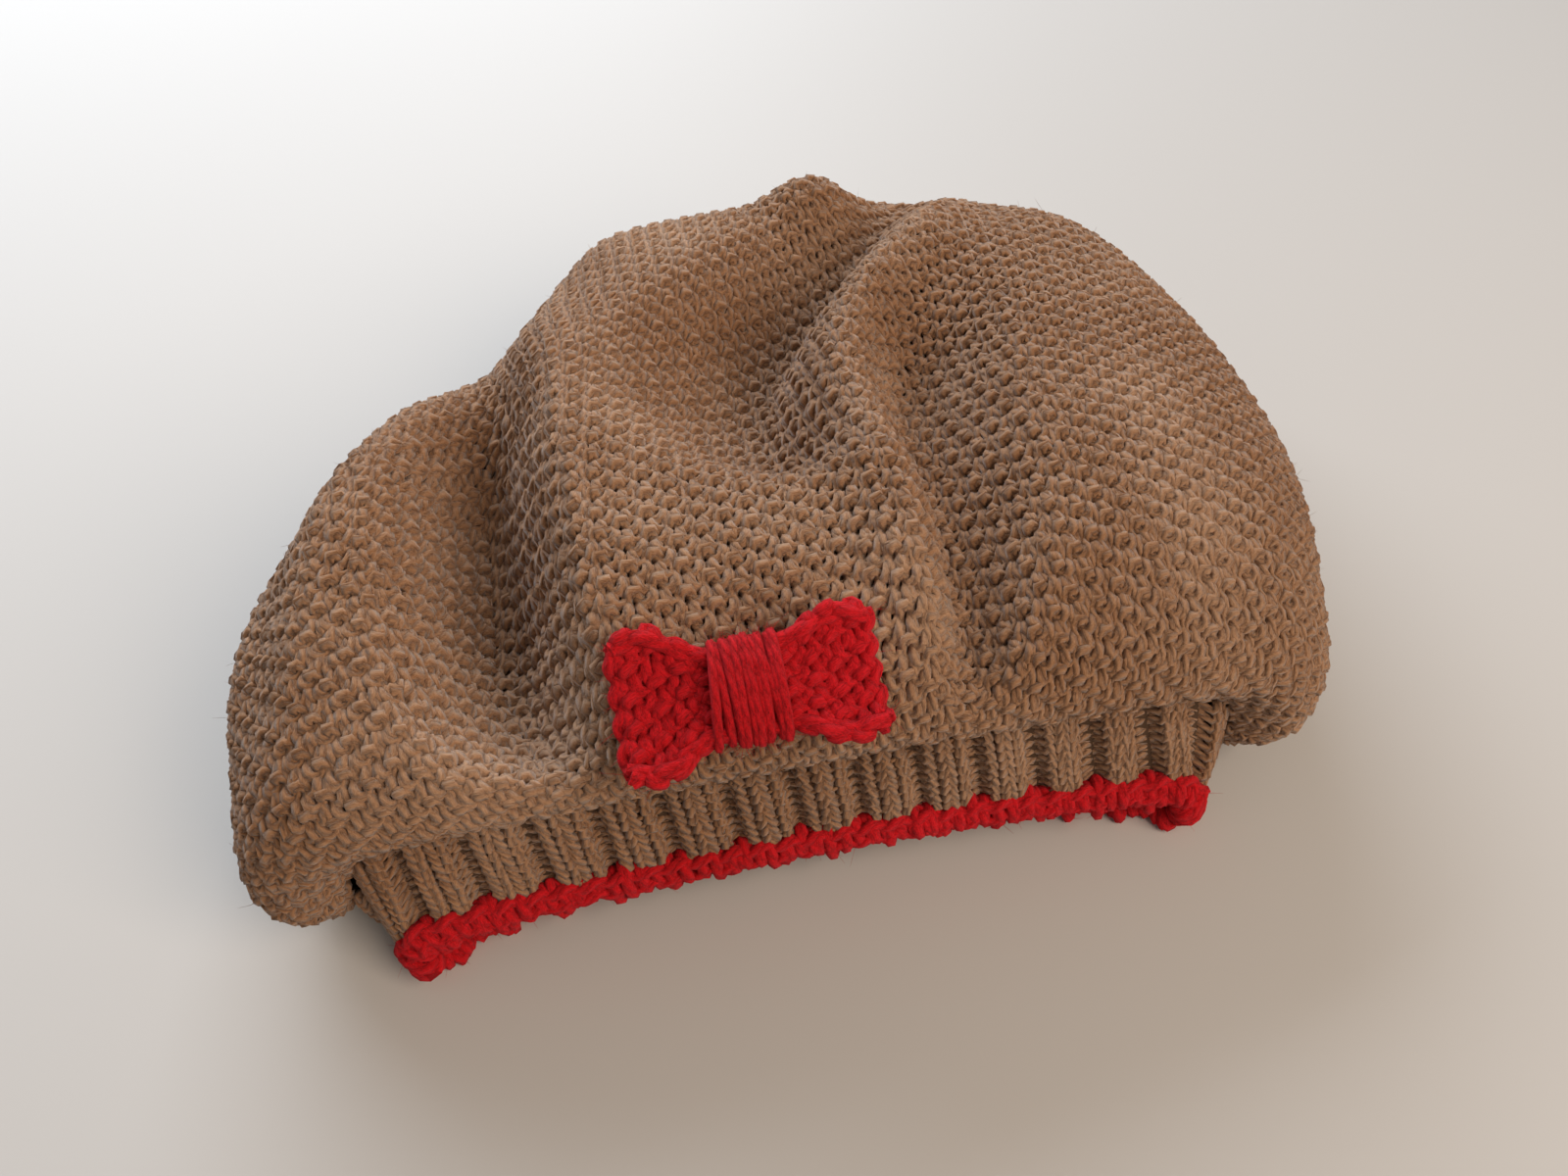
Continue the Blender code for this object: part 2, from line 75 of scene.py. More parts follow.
# folds run from the back to the front; across, left and right are shares of half the width
foldColumns = ("back", "across", "lift", "left", "right")
foldRows = {
    "leftValley": (
        (0.020, -0.385, -0.12, 0.18, 0.13),
        (0.110, -0.430, -0.37, 0.20, 0.15),
        (0.230, -0.455, -0.51, 0.19, 0.17),
        (0.380, -0.465, -0.46, 0.17, 0.17),
        (0.550, -0.445, -0.24, 0.16, 0.15),
        (0.740, -0.440, -0.10, 0.20, 0.16),
        (0.880, -0.440, -0.02, 0.16, 0.16),
    ),
    "panelEdge": (
        (0.020, -0.265, 0.03, 0.09, 0.20),
        (0.160, -0.315, 0.07, 0.10, 0.24),
        (0.320, -0.345, 0.09, 0.10, 0.26),
        (0.500, -0.345, 0.08, 0.11, 0.26),
        (0.700, -0.330, 0.03, 0.14, 0.24),
        (0.860, -0.340, 0.00, 0.14, 0.20),
    ),
    "middleValley": (
        (0.280, 0.110, 0.00, 0.20, 0.15),
        (0.370, 0.070, -0.22, 0.30, 0.17),
        (0.500, 0.060, -0.33, 0.36, 0.18),
        (0.640, 0.150, -0.32, 0.36, 0.19),
        (0.780, 0.310, -0.23, 0.32, 0.19),
        (0.900, 0.440, -0.12, 0.24, 0.18),
        (1.000, 0.560, -0.02, 0.18, 0.15),
    ),
    "frontRidge": (
        (0.030, 0.175, 0.03, 0.08, 0.06),
        (0.140, 0.190, 0.09, 0.12, 0.08),
        (0.250, 0.200, 0.10, 0.14, 0.09),
        (0.340, 0.170, 0.11, 0.12, 0.10),
        (0.440, 0.150, 0.12, 0.11, 0.11),
        (0.550, 0.180, 0.12, 0.11, 0.14),
        (0.680, 0.330, 0.08, 0.12, 0.18),
        (0.860, 0.520, 0.03, 0.12, 0.18),
        (0.960, 0.600, 0.00, 0.12, 0.16),
    ),
    "rightCrease": (
        (0.020, 0.240, -0.10, 0.06, 0.10),
        (0.120, 0.260, -0.17, 0.07, 0.16),
        (0.250, 0.285, -0.19, 0.08, 0.20),
        (0.380, 0.300, -0.22, 0.10, 0.22),
        (0.500, 0.340, -0.22, 0.12, 0.22),
        (0.620, 0.420, -0.08, 0.14, 0.20),
        (0.740, 0.480, 0.00, 0.14, 0.20),
    ),
    "leftCrease": (
        (0.080, -0.840, 0.00, 0.08, 0.08),
        (0.220, -0.820, -0.06, 0.08, 0.08),
        (0.360, -0.780, -0.07, 0.08, 0.08),
        (0.480, -0.700, -0.03, 0.08, 0.08),
        (0.560, -0.660, 0.00, 0.08, 0.08),
    ),
}
swellColumns = ("back", "across", "lift", "reachBack", "reachAcross")
swellRows = {
    "leftLobe": (0.400, -0.710, 0.07, 0.28, 0.22),
    "leftCrest": (0.560, -0.500, 0.05, 0.16, 0.13),
    "rightLobe": (0.300, 0.620, 0.06, 0.42, 0.34),
    "peak": (0.960, 0.300, 0.15, 0.20, 0.17),
    "panelBack": (0.780, -0.340, -0.11, 0.20, 0.24),
    "rightBack": (0.880, 0.620, -0.05, 0.20, 0.25),
    "bowRidge": (0.200, -0.060, 0.03, 0.12, 0.36),
}
# where folds and swells take hold: fully from this share of a section's rise, and along the crown
# between a run at the front and one at the back. A fold fades out past its own ends.
foldReach = {"rise": 0.45, "front": 0.02, "frontRun": 0.16, "back": 0.92, "backRun": 0.20, "fade": 0.06}
# how a section runs back and rises between its side folds and its middle
sectionPowers = {"back": 1.3, "rise": 1.2}


def table(columns, rows):
    return {name: np.array([row[i] for row in rows]) for i, name in enumerate(columns)}


def smoothCurve(stations, values, where):
    slopes = np.gradient(values, stations)
    where = np.clip(where, stations[0], stations[-1])
    i = np.clip(np.searchsorted(stations, where, side="right") - 1, 0, len(stations) - 2)
    step = stations[i + 1] - stations[i]
    t = (where - stations[i]) / step
    return ((2 * t**3 - 3 * t**2 + 1) * values[i] + (t**3 - 2 * t**2 + t) * step * slopes[i]
            + (3 * t**2 - 2 * t**3) * values[i + 1] + (t**3 - t**2) * step * slopes[i + 1])


def ease(t):
    t = np.clip(t, 0.0, 1.0)
    return t * t * (3 - 2 * t)


def hump(t):
    return 0.5 + 0.5 * np.cos(np.pi * np.clip(np.abs(t), 0.0, 1.0))


def foldLift(x, y):
    across = x / (hat["crownWidth"] / 2)
    back = y / hat["crownDepth"]
    lift = np.zeros_like(across)
    for rows in foldRows.values():
        fold = table(foldColumns, rows)
        middle = smoothCurve(fold["back"], fold["across"], back)
        left = np.interp(back, fold["back"], fold["left"])
        right = np.interp(back, fold["back"], fold["right"])
        offset = across - middle
        shape = hump(offset / np.where(offset < 0, left, right))
        past = np.maximum(fold["back"][0] - back, back - fold["back"][-1]).clip(0)
        within = hump(past / foldReach["fade"])
        lift += shape * within * smoothCurve(fold["back"], fold["lift"], back)
    for row in swellRows.values():
        swell = dict(zip(swellColumns, row))
        reach = np.hypot((back - swell["back"]) / swell["reachBack"],
                         (across - swell["across"]) / swell["reachAcross"])
        lift += swell["lift"] * hump(reach)
    return lift * hat["crownHeight"]


def roundedRise(distance, radius):
    q = np.clip(distance / np.maximum(radius, 1e-6), 0, 1)
    return np.sqrt(1 - (1 - q) ** 2)


# A turn runs from 0 to 1: left fold, top, right fold, underside
topTurn, rightTurn = 0.25, 0.5


def sectionPoint(turn, halfWidth, middle, top, side, under):
    angle = 2 * math.pi * turn
    upper = np.clip(np.sin(angle), 0, 1)
    lower = np.clip(-np.sin(angle), 0, 1)
    fromFold = halfWidth * (1 - np.abs(np.cos(angle)))
    toTop, toUnder = upper ** sectionPowers["back"], lower ** sectionPowers["back"]
    y = side[1] + (top[1] - side[1]) * toTop + (under[1] - side[1]) * toUnder
    curve = np.minimum(side[0], top[0] - side[0])
    above = (curve * roundedRise(fromFold, curve)
             + (top[0] - side[0] - curve) * upper ** sectionPowers["rise"])
    drop = side[0] - under[0]
    z = side[0] + np.where(lower > 0, -drop * roundedRise(fromFold, drop), above)
    return np.stack([middle - halfWidth * np.cos(angle), y, z], axis=-1)


def smoothCrownPoint(turn, along):
    at = {name: smoothCurve(sections["along"], sections[name], along) for name in sections}
    half, height, depth = hat["crownWidth"] / 2, hat["crownHeight"], hat["crownDepth"]
    return sectionPoint(turn, at["halfWidth"] * half, at["offCentre"] * half,
                        (at["topRise"] * height, at["topBack"] * depth),
                        (at["sideRise"] * height, at["sideBack"] * depth),
                        (at["underRise"] * height, at["underBack"] * depth))


def crownPoint(turn, along):
    at = smoothCrownPoint(turn, along)
    upper = np.sin(2 * math.pi * turn)
    weight = (ease(upper / foldReach["rise"])
              * ease((along - foldReach["front"]) / foldReach["frontRun"])
              * ease((foldReach["back"] - along) / foldReach["backRun"]))
    at[..., 2] = np.maximum(at[..., 2] + foldLift(at[..., 0], at[..., 1]) * weight, 0.0)
    return at


def mouthPoint(turn):
    length = hat["bandHeight"] + hat["edgingHeight"]
    first = {name: sections[name][0] for name in sections}
    height, depth = hat["crownHeight"], hat["crownDepth"]
    top = (first["topRise"] * height - hat["bandTop"][1] * length,
           first["topBack"] * depth - hat["bandTop"][0] * length)
    side = (first["sideRise"] * height - hat["bandSide"][1] * length,
            first["sideBack"] * depth - hat["bandSide"][0] * length)
    under = (0.0, first["underBack"] * depth - hat["bandUnder"][0] * length)
    middle = first["offCentre"] * hat["crownWidth"] / 2
    return sectionPoint(turn, hat["bandWidth"] / 2, middle, top, side, under)


# share runs from 0 at the mouth's edge to 1 at the crown
def bandPoint(turn, share):
    mouth = mouthPoint(turn)
    top = crownPoint(turn, np.zeros_like(turn))
    at = mouth + (top - mouth) * np.asarray(share)[..., None]
    at[..., 1] -= (hat["bandSwell"] * np.sin(np.pi * share)
                   * np.clip(np.sin(2 * math.pi * turn), 0, 1))
    return at


# How far along a line of points each one lies
def runAlong(points):
    steps = np.linalg.norm(np.diff(points, axis=0), axis=1)
    return np.concatenate([[0], np.cumsum(steps)])


def unit(vectors):
    return vectors / np.maximum(np.linalg.norm(vectors, axis=-1, keepdims=True), 1e-12)


sections = table(crownColumns, crownRows)
sections["halfWidth"][0] = hat["bandFlare"] * hat["bandWidth"] / hat["crownWidth"]

# The hat frame's place in the part's frame, from the crown's own box
turnSteps, alongSteps = 400, 300
turns, alongs = np.meshgrid(np.linspace(0, 1, turnSteps), np.linspace(0, 1, alongSteps))
surface = crownPoint(turns, alongs).reshape(-1, 3)
low, high = (np.array(corner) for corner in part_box("crown"))
shift = (low + high) / 2 - (surface.min(axis=0) + surface.max(axis=0)) / 2
shift[2] = 0
print("hat frame at", shift.round(5))


# A grid of a surface, read at any row and at any part of a turn
class SurfaceGrid:
    def __init__(self, point, shares, steps=720):
        self.shares = shares
        self.turns = np.linspace(0, 1, steps + 1)
        turn, share = np.meshgrid(self.turns, shares)
        self.points = point(turn, share)
        around = np.empty_like(self.points)
        around[:, 1:-1] = self.points[:, 2:] - self.points[:, :-2]
        around[:, 0] = around[:, -1] = self.points[:, 1] - self.points[:, -2]
        self.around = unit(around)
        up = np.gradient(self.points, axis=0)
        self.out = unit(np.cross(self.around, up))
        self.up = np.cross(self.out, self.around)

    # row may lie between two rows of the grid
    def at(self, row, turn):
        turn = np.mod(turn, 1.0) * (len(self.turns) - 1)
        r = np.clip(np.floor(row).astype(int), 0, len(self.shares) - 2)
        c = np.clip(np.floor(turn).astype(int), 0, len(self.turns) - 2)
        a, b = (row - r)[..., None], (turn - c)[..., None]

        def read(grid):
            return ((grid[r, c] * (1 - b) + grid[r, c + 1] * b) * (1 - a)
                    + (grid[r + 1, c] * (1 - b) + grid[r + 1, c + 1] * b) * a)

        return read(self.points), unit(read(self.around)), unit(read(self.up)), unit(read(self.out))


# A node's socket as a value: arithmetic on it adds Math nodes
class Wire:
    def __init__(self, net, socket):
        self.net, self.socket = net, socket

    def combine(self, operation, first, second):
        return self.net.node("ShaderNodeMath", {"operation": operation}, {0: first, 1: second})

    def __add__(self, other):
        return self.combine("ADD", self, other)

    __radd__ = __add__

    def __sub__(self, other):
        return self.combine("SUBTRACT", self, other)

    def __rsub__(self, other):
        return self.combine("SUBTRACT", other, self)

    def __mul__(self, other):
        return self.combine("MULTIPLY", self, other)

    __rmul__ = __mul__

    def __truediv__(self, other):
        return self.combine("DIVIDE", self, other)

    def __rtruediv__(self, other):
        return self.combine("DIVIDE", other, self)

    def __abs__(self):
        return self.combine("ABSOLUTE", self, 0.0)

    def cosine(self):
        return self.combine("COSINE", self, 0.0)

    def angleFrom(self, other):
        return self.combine("ARCTAN2", self, other)


class Net:
    def __init__(self, tree):
        self.tree = tree

    def node(self, kind, settings=None, inputs=None, output=0):
        made = self.tree.nodes.new(kind)
        for name, value in (settings or {}).items():
            setattr(made, name, value)
        for key, value in (inputs or {}).items():
            socket = made.inputs[key]
            if isinstance(value, Wire):
                self.tree.links.new(value.socket, socket)
            else:
                socket.default_value = value
        return Wire(self, made.outputs[output]) if made.outputs else None

    def noise(self, place, scale, detail, roughness=0.5):
        return self.node("ShaderNodeTexNoise", {}, {
            "Vector": place, "Scale": scale, "Detail": detail, "Roughness": roughness})

    def mixColour(self, factor, first, second):
        return self.node("ShaderNodeMix", {"data_type": "RGBA"}, {0: factor, 6: first, 7: second}, 2)


def newMaterial(name):
    material = bpy.data.materials.new(name)
    material.use_nodes = True
    material.node_tree.nodes.clear()
    return material, Net(material.node_tree)


def finishMaterial(net, inputs):
    surfaceShader = net.node("ShaderNodeBsdfPrincipled", {}, inputs)
    net.node("ShaderNodeOutputMaterial", {}, {"Surface": surfaceShader})


# deep is partly painted shade for the grooves between the plies and partly the tone of the darkest
# fibres
taupeYarn = {
    "deep": (0.090, 0.036, 0.015, 1), "body": (0.400, 0.208, 0.102, 1),
    "pale": (0.600, 0.400, 0.270, 1), "sheen": (0.92, 0.88, 0.86, 1), "sheenWeight": 0.35,
    "plyDepth": 0.00060, "fibreDepth": 0.00020, "plyGrooveShade": 0.50,
}
redYarn = {
    "deep": (0.150, 0.000, 0.001, 1), "body": (0.920, 0.004, 0.010, 1),
    "pale": (1.000, 0.020, 0.040, 1), "sheen": (1.0, 0.14, 0.20, 1), "sheenWeight": 0.22,
    "plyDepth": 0.00040, "fibreDepth": 0.00050, "plyGrooveShade": 0.22,
}
# what both yarns share
yarnGrain = {
    "plies": 3, "pliesPerMm": 0.27, "plyStrength": 0.8,
    "fibreRound": 3.2, "fibreAlong": 0.9, "fibreScale": 2.4, "fibreDetail": 4.0,
    "fibreRoughness": 0.65, "fibreStrength": 0.9,
    "patchScale": 24.0, "patchDetail": 2.0,
    "shade": 1.1, "shadeLoss": 0.12,  # from the deep colour to the body colour
    "paleFibre": 0.6, "palePatch": 0.4, "paleFrom": 0.45, "paleTo": 0.72, "paleMost": 0.7,
    "roughness": 0.92, "specular": 0.25, "sheenRoughness": 0.45,
}


# Plied yarn: ridges that twist round it, painted shade in the grooves between them, fine fibres along
# the ridges and a fuzzy sheen
def yarnMaterial(name, yarn):
    material, net = newMaterial(name)
    length, roundX, roundY = (net.node("ShaderNodeAttribute", {"attribute_name": label}, {}, "Fac")
                              for label in ("strandLength", "roundX", "roundY"))
    twist = (roundY.angleFrom(roundX) * (yarnGrain["plies"] / 2)
             + length * (math.pi * yarnGrain["pliesPerMm"]))
    ply = abs(twist.cosine())
    along = net.node("ShaderNodeCombineXYZ", {}, {
        0: roundX * yarnGrain["fibreRound"], 1: roundY * yarnGrain["fibreRound"],
        2: length * yarnGrain["fibreAlong"]})
    fibre = net.noise(along, yarnGrain["fibreScale"], yarnGrain["fibreDetail"],
                      yarnGrain["fibreRoughness"])
    place = net.node("ShaderNodeTexCoord", {}, {}, "Object")
    patch = net.noise(place, yarnGrain["patchScale"], yarnGrain["patchDetail"])
    # painted shade: the colour darkens toward the deep colour in the grooves between the plies; the
    # fibre noise also darkens it at random
    shade = (ply * yarn["plyGrooveShade"] + fibre * (yarnGrain["shade"] - yarn["plyGrooveShade"])
             - yarnGrain["shadeLoss"])
    colour = net.mixColour(shade, yarn["deep"], yarn["body"])
    pale = net.node("ShaderNodeMapRange", {}, {
        0: fibre * yarnGrain["paleFibre"] + patch * yarnGrain["palePatch"],
        1: yarnGrain["paleFrom"], 2: yarnGrain["paleTo"]})
    colour = net.mixColour(pale * yarnGrain["paleMost"], colour, yarn["pale"])
    bump = net.node("ShaderNodeBump", {}, {
        "Strength": yarnGrain["fibreStrength"], "Distance": yarn["fibreDepth"], "Height": fibre})
    bump = net.node("ShaderNodeBump", {}, {
        "Strength": yarnGrain["plyStrength"], "Distance": yarn["plyDepth"], "Height": ply,
        "Normal": bump})
    finishMaterial(net, {
        "Base Color": colour, "Roughness": yarnGrain["roughness"], "Normal": bump,
        "Specular IOR Level": yarnGrain["specular"], "Sheen Weight": yarn["sheenWeight"],
        "Sheen Roughness": yarnGrain["sheenRoughness"], "Sheen Tint": yarn["sheen"]})
    return material


# The thin dark sheet behind the loops: painted shade where the gaps between the loops show
paintedShadeSheet = {
    "taupe": (0.10, 0.062, 0.040, 1), "red": (0.20, 0.006, 0.008, 1), "darkShare": 0.6,
    "grainScale": 900.0, "grainDetail": 3.0, "grainStrength": 0.6, "grainDepth": 0.0004,
    "roughness": 0.95, "specular": 0.1, "wall": 0.0005, "lowest": 0.0006,
}


# painted shade: a dark copy of a yarn colour with a fine random grain
def paintedShadeMaterial(name, colour):
    material, net = newMaterial(name)
    place = net.node("ShaderNodeTexCoord", {}, {}, "Object")
    grain = net.noise(place, paintedShadeSheet["grainScale"], paintedShadeSheet["grainDetail"])
    dark = tuple(paintedShadeSheet["darkShare"] * c for c in colour[:3]) + (1,)
    bump = net.node("ShaderNodeBump", {}, {
        "Strength": paintedShadeSheet["grainStrength"], "Distance": paintedShadeSheet["grainDepth"], "Height": grain})
    finishMaterial(net, {
        "Base Color": net.mixColour(grain, dark, colour), "Roughness": paintedShadeSheet["roughness"],
        "Normal": bump, "Specular IOR Level": paintedShadeSheet["specular"]})
    return material


taupe = yarnMaterial("taupeYarn", taupeYarn)
red = yarnMaterial("redYarn", redYarn)
# dark copies of the two yarn colours for the sheets behind the loops: painted shade
taupePaintedShade = paintedShadeMaterial("taupePaintedShade", paintedShadeSheet["taupe"])
redPaintedShade = paintedShadeMaterial("redPaintedShade", paintedShadeSheet["red"])


# Geometry Nodes: strands of yarn become round tubes
def strandTree():
    tree = bpy.data.node_groups.new("yarnStrands", "GeometryNodeTree")
    face = tree.interface
    for label, kind in (("Geometry", "Geometry"), ("Yarn radius", "Float"), ("Sides", "Int"),
                        ("Yarn", "Material")):
        face.new_socket(label, in_out="INPUT", socket_type="NodeSocket" + kind)
    face.new_socket("Geometry", in_out="OUTPUT", socket_type="NodeSocketGeometry")
    net = Net(tree)
    entry = tree.nodes.new("NodeGroupInput")
    geometry, radius, sides, yarn = (Wire(net, entry.outputs[n]) for n in range(4))
    strand = net.node("GeometryNodeMeshToCurve", {}, {"Mesh": geometry})
    profile = net.node("GeometryNodeCurvePrimitiveCircle", {}, {
        "Resolution": sides, "Radius": radius})
    place = net.node("GeometryNodeInputPosition")
    for name, axis in (("roundX", 0), ("roundY", 1)):
        part = net.node("ShaderNodeSeparateXYZ", {}, {0: place}, axis) / radius
        profile = net.node("GeometryNodeStoreNamedAttribute",
                           {"data_type": "FLOAT", "domain": "POINT"},
                           {"Geometry": profile, "Name": name, "Value": part})
    thick = net.node("GeometryNodeInputNamedAttribute", {"data_type": "FLOAT"},
                     {"Name": "thickness"})
    tube = net.node("GeometryNodeCurveToMesh", {}, {
        "Curve": strand, "Profile Curve": profile, "Scale": thick, "Fill Caps": True})
    tube = net.node("GeometryNodeSetShadeSmooth", {}, {"Geometry": tube, "Shade Smooth": True})
    tube = net.node("GeometryNodeRealizeInstances", {}, {"Geometry": tube})
    tube = net.node("GeometryNodeSetMaterial", {}, {"Geometry": tube, "Material": yarn})
    leave = tree.nodes.new("NodeGroupOutput")
    tree.links.new(tube.socket, leave.inputs[0])
    return tree


strands = strandTree()


def addObject(name, data):
    made = bpy.data.objects.new(name, data)
    bpy.context.collection.objects.link(made)
    return made


# Each strand is its points in the hat frame, the thickness share of each point, and whether it is
# closed. strandLength is in millimetres.
def strandMesh(name, lines):
    points, thick, lengths, edges = [], [], [], []
    total = 0
    for line, share, closed in lines:
        count = len(line)
        points.append(line)
        thick.append(np.broadcast_to(share, count))
        lengths.append(runAlong(line) * 1000)
        order = np.arange(count)
        pairs = np.stack([order[:-1], order[1:]], axis=1)
        if closed:
            pairs = np.concatenate([pairs, [[count - 1, 0]]])
        edges.append(pairs + total)
        total += count
    mesh = bpy.data.meshes.new(name)
    mesh.from_pydata((np.concatenate(points) + shift).tolist(), np.concatenate(edges).tolist(), [])
    for label, values in (("thickness", thick), ("strandLength", lengths)):
        mesh.attributes.new(label, "FLOAT", "POINT").data.foreach_set(
            "value", np.concatenate(values).astype(np.float32))
    return mesh


def yarnPiece(name, lines, radius, sides, yarn, nodes):
    piece = addObject(name, strandMesh(name, lines))
    modifier = piece.modifiers.new("yarn", "NODES")
    modifier.node_group = strands
    inputs = {item.name: item.identifier for item in strands.interface.items_tree
              if item.in_out == "INPUT"}
    modifier[inputs["Yarn radius"]] = radius
    modifier[inputs["Sides"]] = sides
    modifier[inputs["Yarn"]] = yarn
    graph = bpy.context.evaluated_depsgraph_get()
    made = bpy.data.meshes.new_from_object(piece.evaluated_get(graph))
    made.name = name
    piece.modifiers.remove(modifier)
    piece.data = made
    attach(piece, "root")
    if nodes:
        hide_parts(*nodes)
    made.calc_loop_triangles()
    print(name, len(made.loop_triangles), "triangles")


fuzz = {
    "radius": 0.00005, "length": 0.0014, "shortest": 0.7, "longest": 1.5, "sides": 3,
    "spread": 1.0, "curl": 0.8, "lowest": 0.0003, "seed": 21,
    # a fibre's three points along its length, and its thickness at each
    "places": (0, 0.55, 1), "taper": (1.0, 0.8, 0.3),
}


# Loose fibres that stand off the yarn, each away from the point that inside gives for its root
def fuzzPiece(name, lines, count, inside, yarn):
    rng = np.random.default_rng(fuzz["seed"])
    points = np.concatenate([line for line, _, _ in lines])
    start = points[rng.choice(len(points), count)]
    away = unit(start - inside(start))
    lean = unit(away + fuzz["spread"] * rng.normal(0, 1, start.shape))
    bend = fuzz["curl"] * rng.normal(0, 1, start.shape)
    length = fuzz["length"] * rng.uniform(fuzz["shortest"], fuzz["longest"], (count, 1))
    path = np.stack([start + length * (share * lean + share**2 * bend)
                     for share in fuzz["places"]], axis=1)
    path[..., 2] = np.maximum(path[..., 2], fuzz["lowest"])
    fibres = [(line, fuzz["taper"], False) for line in path]
    yarnPiece(name, fibres, fuzz["radius"], fuzz["sides"], yarn, [])


# rings holds rows of points. A row closes on itself where around is set, and the last row closes on
# the point closeEnd where one is given.
def sheetPiece(name, rings, material, nodes, closeEnd=None, around=True):
    rows, count = rings.shape[:2]
    columns = count if around else count - 1
    vertices = (rings + shift).reshape(-1, 3).tolist()
    faces = [(r * count + i, r * count + (i + 1) % count, (r + 1) * count + (i + 1) % count,
              (r + 1) * count + i) for r in range(rows - 1) for i in range(columns)]
    if closeEnd is not None:
        vertices.append((closeEnd + shift).tolist())
        last = (rows - 1) * count
        faces += [(last + i, last + (i + 1) % count, rows * count) for i in range(count)]
    mesh = bpy.data.meshes.new(name)
    mesh.from_pydata(vertices, [], faces)
    mesh.shade_smooth()
    mesh.materials.append(material)
    piece = addObject(name, mesh)
    solid = piece.modifiers.new("wall", "SOLIDIFY")
    solid.thickness = paintedShadeSheet["wall"]
    solid.offset = 0
    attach(piece, "root")
    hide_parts(*nodes)


# A dark sheet just under a grid of loops: painted shade between them
def ringSheet(name, grid, step, lift, nodes, closeEnd=None):
    rings = grid.points[:-1, :-1:step] + grid.out[:-1, :-1:step] * lift
    rings[..., 2] = np.maximum(rings[..., 2], paintedShadeSheet["lowest"])
    sheetPiece(name, rings, taupePaintedShade, nodes, closeEnd)


# Where a loop of yarn lies along its own run: its sinker, lower leg, upper leg, head, and back again.
# A knit stitch counts 1 and a purl stitch -1. A loop's legs lie in front of the loop below when it is
# a knit stitch, and its head lies behind the legs of the loop above when that one is.
loopStations = np.arange(7) * math.pi / 3

# how much of a loop's random shares goes into its bulge, its place along the course and its rise
loopSway = {"bulge": 2, "along": 0.5, "rise": 0.6}
plumpDepths = (-1, 1.2)


def loopDepth(t, kind, above, before, after, knit):
    sinkers = [-0.5 * (kind + other) * knit["sinker"] for other in (before, after)]
    leg, shoulder, head = kind * knit["leg"], above * knit["shoulder"], -above * knit["head"]
    run = np.array([sinkers[0], leg, shoulder, head, shoulder, leg, sinkers[1]])
    return smoothCurve(loopStations, run, t)


def courseLine(place, row, centres, widths, kinds, above, knit, samples, rng, girth=None):
    turns, rows, depths, thick = [], [], [], []
    for k, centre in enumerate(centres):
        t = (np.arange(samples[k]) + 0.5) / samples[k] * 2 * math.pi
        before, after = kinds[k - 1], kinds[(k + 1) % len(kinds)]
        jitter = rng.normal(0, knit["jitter"], 4)
        bulge = knit["bulge"] * (1 + loopSway["bulge"] * jitter[3])
        across = (t - math.pi + bulge * np.sin(2 * t)) / (2 * math.pi)
        hold = np.sin(t / 2)  # neighbours meet in their sinkers, so only the loop itself moves
        turns.append(centre + (across + loopSway["along"] * jitter[0] * hold) * widths[k])
        rise = -knit["rise"] * np.cos(t) + knit["slant"] * across * np.sin(t / 2) ** 2
        rows.append(row + rise + loopSway["rise"] * jitter[1] * hold)
        deep = loopDepth(t, kinds[k], above[k], before, after, knit)
        size = 1 if girth is None else girth[k]
        depths.append(deep * (1 + jitter[2]) * size)
        thick.append((1 + knit["plump"] * np.clip(deep, *plumpDepths)) * size)
    at, _, _, out = place(np.concatenate(rows), np.concatenate(turns))
    depth = np.concatenate(depths) * knit["depth"] + knit["lift"]
    return at + out * depth[:, None], np.concatenate(thick)


crownKnit = {
    "wale": 0.00465, "course": 0.00275, "radius": 0.00118, "depth": 0.00085, "lift": -0.0012,
    "rise": 0.92, "bulge": 0.70, "slant": 0.0, "jitter": 0.05, "plump": 0.14,
    "leg": 0.55, "shoulder": 0.65, "head": 1.20, "sinker": 0.8,
    "fineSamples": 12, "backSamples": 9, "hiddenSamples": 5, "sides": 5, "pieces": 5, "seed": 11,
    # the line that the stitches are counted from, and how near the ring's ends it may come
    "middleLine": -0.010, "edgeRoom": 0.012,
    "gather": 0.80, "gatherRun": 0.20,  # the first rounds are drawn in by the band
    "foldShare": 0.55, "foldPasses": 8,  # how closely the stitches follow the folds' extra cloth
    "firmPast": 0.012, "fewest": 6,  # even stitches reach this far past the side folds
    "seenTurns": (0.98, 0.52), "girth": (0.75, 1.6), "girthPower": 0.6,
    "topSamples": 1201, "endGap": 0.7, "closedEnd": 0.995, "shadeStep": 4, "shadeLift": -0.0014,
    # a fibre stands away from a point inside: a share of its own place, moved by a fixed step
    "fuzz": 2000, "coreShare": (0.75, 0.9, 0), "corePlace": (0, 0.008, 0.018),
}


